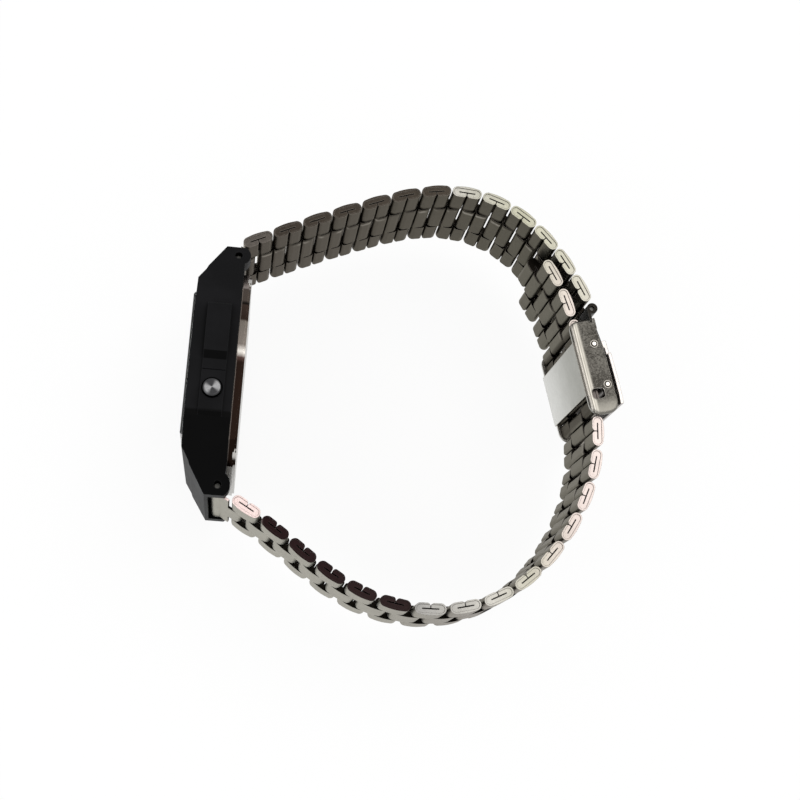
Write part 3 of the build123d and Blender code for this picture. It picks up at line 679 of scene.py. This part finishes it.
def flangeSteel(look):
    # The wrist side of each flange is rolled over and polished, with painted highlight and shade lines along
    # it, and the rest is grained.
    finish = Finish("flange steel")
    x, y, z = finish.parts(finish.place, "XYZ")
    facingX, facingY, facingZ = finish.parts(finish.facing, "XYZ")
    outward, down = inClasp(x, y)
    speck = finish.noise(look["speckSize"], detail=4.0, rough=0.8)
    cloud = finish.noise(look["cloudSize"])
    grain = finish.rise(0.7 * speck + 0.3 * cloud, 0.42, 0.60)
    colour = finish.blendColours(grain, look["dark"], look["pale"])
    # Painted light, lighter towards the six o'clock end
    lowEnd = finish.rise(down, *look["lowEndFrom"])
    colour = finish.blendColours(0.8 * lowEnd, colour, look["lowEnd"])
    streak = finish.noise(look["streakSize"], rough=0.7, stretch=look["streakStretch"])
    # Painted highlights on the polished shoulder and painted highlight and shade lines along the roll
    shoulder = finish.fall(outward + 0.8 * streak, *look["shoulderEdge"])
    colour = finish.blendColours(shoulder * (0.45 + 0.6 * streak), colour, look["shoulder"])
    roll = finish.tonesAlong(outward + 0.06 * streak, look["roll"])
    colour = finish.blendColours(0.8 * finish.fall(outward, *look["rollEdge"]), colour, roll)

    # The plate on the wrist side, with a painted reflection that is paler low down, and the walls between the
    # flanges
    lean = claspPlace["lean"]
    toWrist = finish.rise(-facingX * math.cos(lean) - facingY * math.sin(lean), 0.6, 0.9)
    plate = finish.blendColours(finish.rise(z, *look["plateHeights"]), look["plateLow"], look["plateHigh"])
    plate = finish.scale(plate, 0.85 + 0.3 * streak)
    inside = finish.blendColours(speck, look["insideDark"], look["insidePale"])
    inside = finish.blendColours(toWrist * finish.fall(outward, *look["plateEdge"]), inside, plate)
    colour = finish.blendColours(finish.rise(abs(facingZ), 0.4, 0.7), inside, colour)

    # Painted highlights on the edges, painted shade in the crevices and beyond the bridge to the bar, and
    # round each pin a painted shadow gap with a painted glint outside it
    colour = finish.blendColours(finish.rim(look["rimRadius"]), colour, look["rim"])
    colour = finish.blendColours(0.6 * finish.crevice(look["creviceReach"]), colour, paintedShade)
    colour = finish.blendColours(0.85 * finish.rise(-down, *look["bridgeFrom"]), colour, paintedShade)
    near = fromPins(finish, x, y)
    glint = finish.rise(near, *look["glintStart"]) * finish.fall(near, *look["glintEnd"])
    colour = finish.blendColours(0.6 * glint, colour, look["rim"])
    colour = finish.blendColours(0.95 * finish.fall(near, *look["pinGap"]), colour, paintedShade)
    normal = finish.bump(speck, look["speckDepth"], look["edgeRadius"], strength=0.5)
    return finish.surface(colour=colour, metallic=1.0, roughness=0.3 + 0.16 * cloud, normal=normal)


# The other metals

backLook = {
    "edge": [       # painted highlights, reflections and shade on its narrow edge, from the six o'clock end up
        (-16.5, (0.55, 0.53, 0.50)), (-15.5, (0.55, 0.53, 0.50)), (-15.2, (0.012, 0.007, 0.005)),
        (0.2, (0.014, 0.008, 0.006)), (0.9, (0.06, 0.035, 0.03)), (1.75, (0.60, 0.57, 0.53)),
        (2.8, (0.15, 0.13, 0.115)), (6.2, (0.12, 0.105, 0.09)), (6.5, (0.020, 0.013, 0.010)),
        (8.6, (0.030, 0.020, 0.016)), (8.9, (0.002, 0.002, 0.002)), (9.3, (0.050, 0.040, 0.034)),
        (11.0, (0.050, 0.040, 0.034)), (11.3, (0.26, 0.22, 0.20)), (16.0, (0.26, 0.22, 0.20)),
    ],
    "lip": (0.22, 0.19, 0.17),
    "lipEnd": (3.0, 3.06),
    "flatDark": (0.36, 0.345, 0.32),
    "flatPale": (0.50, 0.485, 0.455),
    "streakSize": 0.07,
    "streakStretch": (1.0, 0.05, 1.0),
    "streakDepth": 0.005,
    "edgeRadius": 0.12,
}


def backSteel(look):
    finish = Finish("back steel")
    x, y = finish.parts(finish.place, "XY")
    facingZ = finish.parts(finish.facing, "Z")[0]
    streak = finish.noise(look["streakSize"], rough=0.6, stretch=look["streakStretch"])
    flat = finish.blendColours(finish.rise(streak, 0.35, 0.65), look["flatDark"], look["flatPale"])
    edge = finish.tonesAlong(y, look["edge"])
    # Painted highlight along the lip
    edge = finish.blendColours(0.5 * finish.fall(x, *look["lipEnd"]), edge, look["lip"])
    colour = finish.blendColours(finish.rise(abs(facingZ), 0.3, 0.6), flat, edge)
    normal = finish.bump(streak, look["streakDepth"], look["edgeRadius"], strength=0.5)
    return finish.surface(colour=colour, metallic=1.0, roughness=0.2 + 0.12 * streak, normal=normal)


buttonLook = {
    "spots": {"alarm_button": (0.0, -4.3), "light_button": (0.0, 4.3), "mode_button": (0.0, -4.3)},
    "dark": (0.035, 0.035, 0.037),
    "light": (0.26, 0.26, 0.265),
    "sectorTurn": 0.9,
    "side": (0.05, 0.05, 0.052),
    "sideFrom": (0.9, 1.25),
    "ringWidth": 0.05,
    "ringDepth": 0.002,
    "edgeRadius": 0.15,
}


def buttonSteel(name, spot, look):
    # Turned steel with painted highlights in sectors, where its fine rings catch the light, and painted shade
    # on its side.
    finish = Finish(name)
    x, y = finish.parts(finish.place, "XY")
    across = x - spot[0]
    up = y - spot[1]
    angle = finish.maths("ARCTAN2", up, across)
    sectors = finish.rise(finish.maths("SINE", 2 * angle + look["sectorTurn"]), -0.7, 0.9)
    radius = finish.distance(across, up)
    rings = finish.maths("PINGPONG", radius, look["ringWidth"]) / look["ringWidth"]
    colour = finish.blendColours(sectors, look["dark"], look["light"])
    colour = finish.blendColours(finish.rise(radius, *look["sideFrom"]), colour, look["side"])
    normal = finish.bump(rings, look["ringDepth"], look["edgeRadius"], strength=0.4)
    return finish.surface(colour=colour, metallic=1.0, roughness=0.24 + 0.1 * rings, normal=normal)


brushing = {
    "streakSize": 0.06,
    "streakStretch": 0.06,
    "blotchSize": 1.6,
}

brushedMetals = {
    "cover steel": {
        "colour": (0.42, 0.39, 0.37), "roughness": 0.25, "mottling": 0.25, "grainAlong": "Z",
        "grainDepth": 0.006, "edgeRadius": 0.15, "pieces": ["clasp_cover"],
    },
    "lock steel": {
        "colour": (0.12, 0.11, 0.10), "roughness": 0.3, "mottling": 0.25, "grainAlong": "Z",
        "grainDepth": 0.006, "edgeRadius": 0.15, "pieces": ["lock_plate"],
    },
    "screw steel": {
        "colour": (0.45, 0.44, 0.42), "roughness": 0.3, "mottling": 0.2, "grainAlong": "X",
        "grainDepth": 0.004, "edgeRadius": 0.06, "pieces": ["back_screws"],
    },
    # painted shade: the bars are darkened, as they sit in the shade of the lug holes and the clasp
    "bar steel": {
        "colour": (0.075, 0.073, 0.068), "roughness": 0.35, "mottling": 0.2, "grainAlong": "Z",
        "grainDepth": 0.003, "edgeRadius": 0.15, "pieces": ["spring_bars", "clasp_spring_bar"],
    },
    "cell steel": {
        "colour": (0.6, 0.6, 0.58), "roughness": 0.2, "mottling": 0.15, "grainAlong": "Y",
        "grainDepth": 0.003, "edgeRadius": 0.08, "pieces": ["battery", "quartz_can"],
    },
    "spring steel": {
        "colour": (0.5, 0.5, 0.48), "roughness": 0.3, "mottling": 0.15, "grainAlong": "Y",
        "grainDepth": 0.003, "edgeRadius": 0.03, "pieces": ["battery_clip", "buzzer_spring"],
    },
    "contact brass": {
        "colour": (0.65, 0.47, 0.2), "roughness": 0.3, "mottling": 0.15, "grainAlong": "Y",
        "grainDepth": 0.003, "edgeRadius": 0.03, "pieces": ["contact_springs", "buzzer_disc"],
    },
}


def brushedMetal(name, look):
    finish = Finish(name)
    stretch = tuple(brushing["streakStretch"] if axis == look["grainAlong"] else 1.0 for axis in "XYZ")
    streak = finish.noise(brushing["streakSize"], detail=2.0, rough=0.6, stretch=stretch)
    blotch = finish.noise(brushing["blotchSize"], detail=5.0, rough=0.65)
    dark = tuple(part * (1 - look["mottling"]) for part in look["colour"])
    light = tuple(min(1.0, part * (1 + look["mottling"])) for part in look["colour"])
    colour = finish.blendColours(finish.rise(0.5 * blotch + 0.5 * streak, 0.35, 0.65), dark, light)
    normal = finish.bump(streak, look["grainDepth"], look["edgeRadius"], strength=0.5)
    rough = look["roughness"] + 0.15 * blotch
    return finish.surface(colour=colour, metallic=1.0, roughness=rough, normal=normal)


def dress(material, names):
    for name in names:
        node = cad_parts[name]
        if not node.material_slots:
            node.data.materials.append(None)
        for slot in node.material_slots:
            slot.material = material


linkNodes = [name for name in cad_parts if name.startswith(("link", "tail_link", "strap_end"))]
twelveNodes = [name for name in linkNodes if "12h" in name]
sixNodes = [name for name in linkNodes if "12h" not in name]
dress(caseResin(caseLook), ["case_body"])
dress(crystalResin(crystalLook), ["crystal"])
dress(facePrint(faceLook), ["face_plate"])
dress(displayGlass(panelLook), ["lcd_panel"])
dress(boardLacquer(boardLook), ["circuit_board"])
dress(linkSteel("link steel twelve", twelveTones, linkLook), twelveNodes)
dress(linkSteel("link steel six", sixTones, linkLook), sixNodes)
dress(pinSteel(pinLook), ["clasp_pins"])
dress(flangeSteel(flangeLook), ["clasp_box"])
dress(backSteel(backLook), ["case_back"])
for name, spot in buttonLook["spots"].items():
    dress(buttonSteel(name + " steel", spot, buttonLook), [name])
for name, look in mouldings.items():
    dress(mouldedResin(name, look["colour"], look["roughness"]), look["pieces"])
for name, look in brushedMetals.items():
    dress(brushedMetal(name, look), look["pieces"])
print("materials made")


# Pieces that repeat, grown on points by geometry nodes

class Growth(Tree):
    # Sets a flat shape on each point of a sheet, and turns the sheet to face a viewer of the dial.
    def __init__(self, name, corners):
        super().__init__(bpy.data.node_groups.new(name, "GeometryNodeTree"))
        self.identifiers = {}
        self.socket("Points", "INPUT", "NodeSocketGeometry")
        self.socket("Thickness", "INPUT", "NodeSocketFloat")
        self.socket("Place", "INPUT", "NodeSocketVector")
        self.socket("Finish", "INPUT", "NodeSocketMaterial")
        self.socket("Mesh", "OUTPUT", "NodeSocketGeometry")
        entry = self.add("NodeGroupInput")
        shape = self.add("GeometryNodeMeshCylinder", {"fill_type": "NGON"},
                         {"Vertices": corners, "Radius": 0.5, "Depth": 1.0})
        turn = math.pi / 4 if corners == 4 else 0.0         # a square's sides lie along its length and width
        widen = math.sqrt(2) if corners == 4 else 1.0       # and are 1 long, before the size is given
        lifted = self.add("GeometryNodeTransform", inputs={
            "Geometry": self.wire(shape, "Mesh"), "Translation": (0, 0, 0.5), "Rotation": (0, 0, turn),
            "Scale": (widen, widen, 1)})
        size = self.add("GeometryNodeInputNamedAttribute", {"data_type": "FLOAT_VECTOR"}, {"Name": "size"})
        angle = self.add("GeometryNodeInputNamedAttribute", {"data_type": "FLOAT"}, {"Name": "turn"})
        apart = self.add("ShaderNodeSeparateXYZ", inputs={0: self.wire(size, "Attribute")})
        scale = self.add("ShaderNodeCombineXYZ", inputs={
            "X": self.wire(apart, "X"), "Y": self.wire(apart, "Y"), "Z": self.wire(entry, "Thickness")})
        spin = self.add("ShaderNodeCombineXYZ", inputs={"Z": self.wire(angle, "Attribute")})
        placed = self.add("GeometryNodeInstanceOnPoints", inputs={
            "Points": self.wire(entry, "Points"), "Instance": self.wire(lifted, "Geometry"),
            "Rotation": self.wire(spin, "Vector"), "Scale": self.wire(scale, "Vector")})
        real = self.add("GeometryNodeRealizeInstances", inputs={0: self.wire(placed, 0)})
        upright = self.add("GeometryNodeTransform", inputs={
            "Geometry": self.wire(real, 0), "Translation": self.wire(entry, "Place"),
            "Rotation": (0, -math.pi / 2, 0)})
        finished = self.add("GeometryNodeSetMaterial", inputs={
            "Geometry": self.wire(upright, 0), "Material": self.wire(entry, "Finish")})
        self.add("NodeGroupOutput", inputs={"Mesh": self.wire(finished, 0)})

    def socket(self, name, side, kind):
        made = self.nodeTree.interface.new_socket(name, in_out=side, socket_type=kind)
        self.identifiers[name] = made.identifier

    def grow(self, name, spots, thickness, front, material, body, slot):
        # Each spot is a place to the right and up, a turn, and a length and width, in millimetres.
        places = [(right * mm, up * mm, 0) for right, up, turn, long, wide in spots]
        turns = [turn for right, up, turn, long, wide in spots]
        sizes = [part * mm for right, up, turn, long, wide in spots for part in (long, wide, 0)]
        points = bpy.data.meshes.new(name + " points")
        points.from_pydata(places, [], [])
        points.attributes.new("size", "FLOAT_VECTOR", "POINT").data.foreach_set("vector", sizes)
        points.attributes.new("turn", "FLOAT", "POINT").data.foreach_set("value", turns)
        seed = addObject(name + " seed", points)
        modifier = seed.modifiers.new("growth", "NODES")
        modifier.node_group = self.nodeTree
        modifier[self.identifiers["Thickness"]] = thickness * mm
        modifier[self.identifiers["Place"]] = (front, 0, middleHeight * mm)
        modifier[self.identifiers["Finish"]] = material
        grown = seed.evaluated_get(bpy.context.evaluated_depsgraph_get())
        piece = addObject(name, bpy.data.meshes.new_from_object(grown))
        bpy.data.objects.remove(seed)
        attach(piece, body)


display = {
    "ink": (0.012, 0.014, 0.012),
    "roughness": 0.3,
    "thickness": 0.03,
    "barWidth": 0.42,       # in the tallest digits
    "tallest": 4.6,
    "straightShare": 0.92,  # of the way between two corners of a digit, for the straight part of a bar
    "pointLength": 0.8,     # of a bar's two points together, in bar widths
    "dotSize": 1.2,         # in bar widths too
    "rows": [               # digits, left edge, middle height, digit width and height, gap
        ("10", -7.5, -1.5, 2.2, 4.6, 0.6),
        ("58", -1.3, -1.5, 2.2, 4.6, 0.6),
        ("36", 4.3, -2.2, 1.4, 3.2, 0.4),
        ("28", 4.3, 2.9, 1.2, 2.2, 0.35),
    ],
    "dots": [(-1.9, -0.6), (-1.9, -2.4)],
}

# Where each bar stands in its digit, across and up from -1 to 1, and whether it is upright
barPlaces = {
    "a": (0, 1, False), "g": (0, 0, False), "d": (0, -1, False),
    "f": (-1, 0.5, True), "b": (1, 0.5, True), "e": (-1, -0.5, True), "c": (1, -0.5, True),
}
litBars = {"0": "abcdef", "1": "bc", "2": "abged", "3": "abgcd", "5": "afgcd", "6": "afgedc", "8": "abcdefg"}


def digitBars(settings):
    bars = []
    for digits, left, middle, width, height, gap in settings["rows"]:
        thin = settings["barWidth"] * height / settings["tallest"]
        side = (width - thin) / 2
        rise = (height - thin) / 2
        for count, digit in enumerate(digits):
            centre = left + width / 2 + count * (width + gap)
            for bar in litBars[digit]:
                across, high, upright = barPlaces[bar]
                straight = settings["straightShare"] * (rise if upright else 2 * side)
                turn = math.pi / 2 if upright else 0.0
                long = straight + settings["pointLength"] * thin
                bars.append((centre + across * side, middle + high * rise, turn, long, thin))
    dot = settings["dotSize"] * settings["barWidth"]
    for right, up in settings["dots"]:
        bars.append((right, up, 0.0, dot, dot))
    return bars


ink = mouldedResin("display ink", display["ink"], display["roughness"])
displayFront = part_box("lcd_panel")[0][0]
barGrowth = Growth("display bars", corners=6)
barGrowth.grow(
    "display_digits", digitBars(display), display["thickness"], displayFront, ink, "case", "display")

boardParts = {
    "colour": (0.03, 0.03, 0.032),
    "roughness": 0.4,
    "tall": 0.45,
    "chip": 5.2,
    "count": 16,
    "field": (13.0, 8.5),
    "sizes": [(1.6, 0.8), (1.0, 0.5), (1.2, 1.2)],
    "seed": 7,
}


def boardSpots(settings):
    # Small parts on the display side of the board, in two rows, with one large chip between them.
    dice = random.Random(settings["seed"])
    spots = [(0.0, 0.0, 0.0, settings["chip"], settings["chip"])]
    columns = settings["count"] // 2
    for index in range(settings["count"]):
        right = (index % columns / (columns - 1) - 0.5) * settings["field"][0]
        up = (index // columns - 0.5) * settings["field"][1]
        long, wide = dice.choice(settings["sizes"])
        spots.append((right, up, dice.choice((0.0, math.pi / 2)), long, wide))
    return spots


partResin = mouldedResin("part resin", boardParts["colour"], boardParts["roughness"])
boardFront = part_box("circuit_board")[0][0]
partGrowth = Growth("board parts", corners=4)
partGrowth.grow(
    "board_parts", boardSpots(boardParts), boardParts["tall"], boardFront, partResin, "case", "board")
print("display digits and board parts grown")
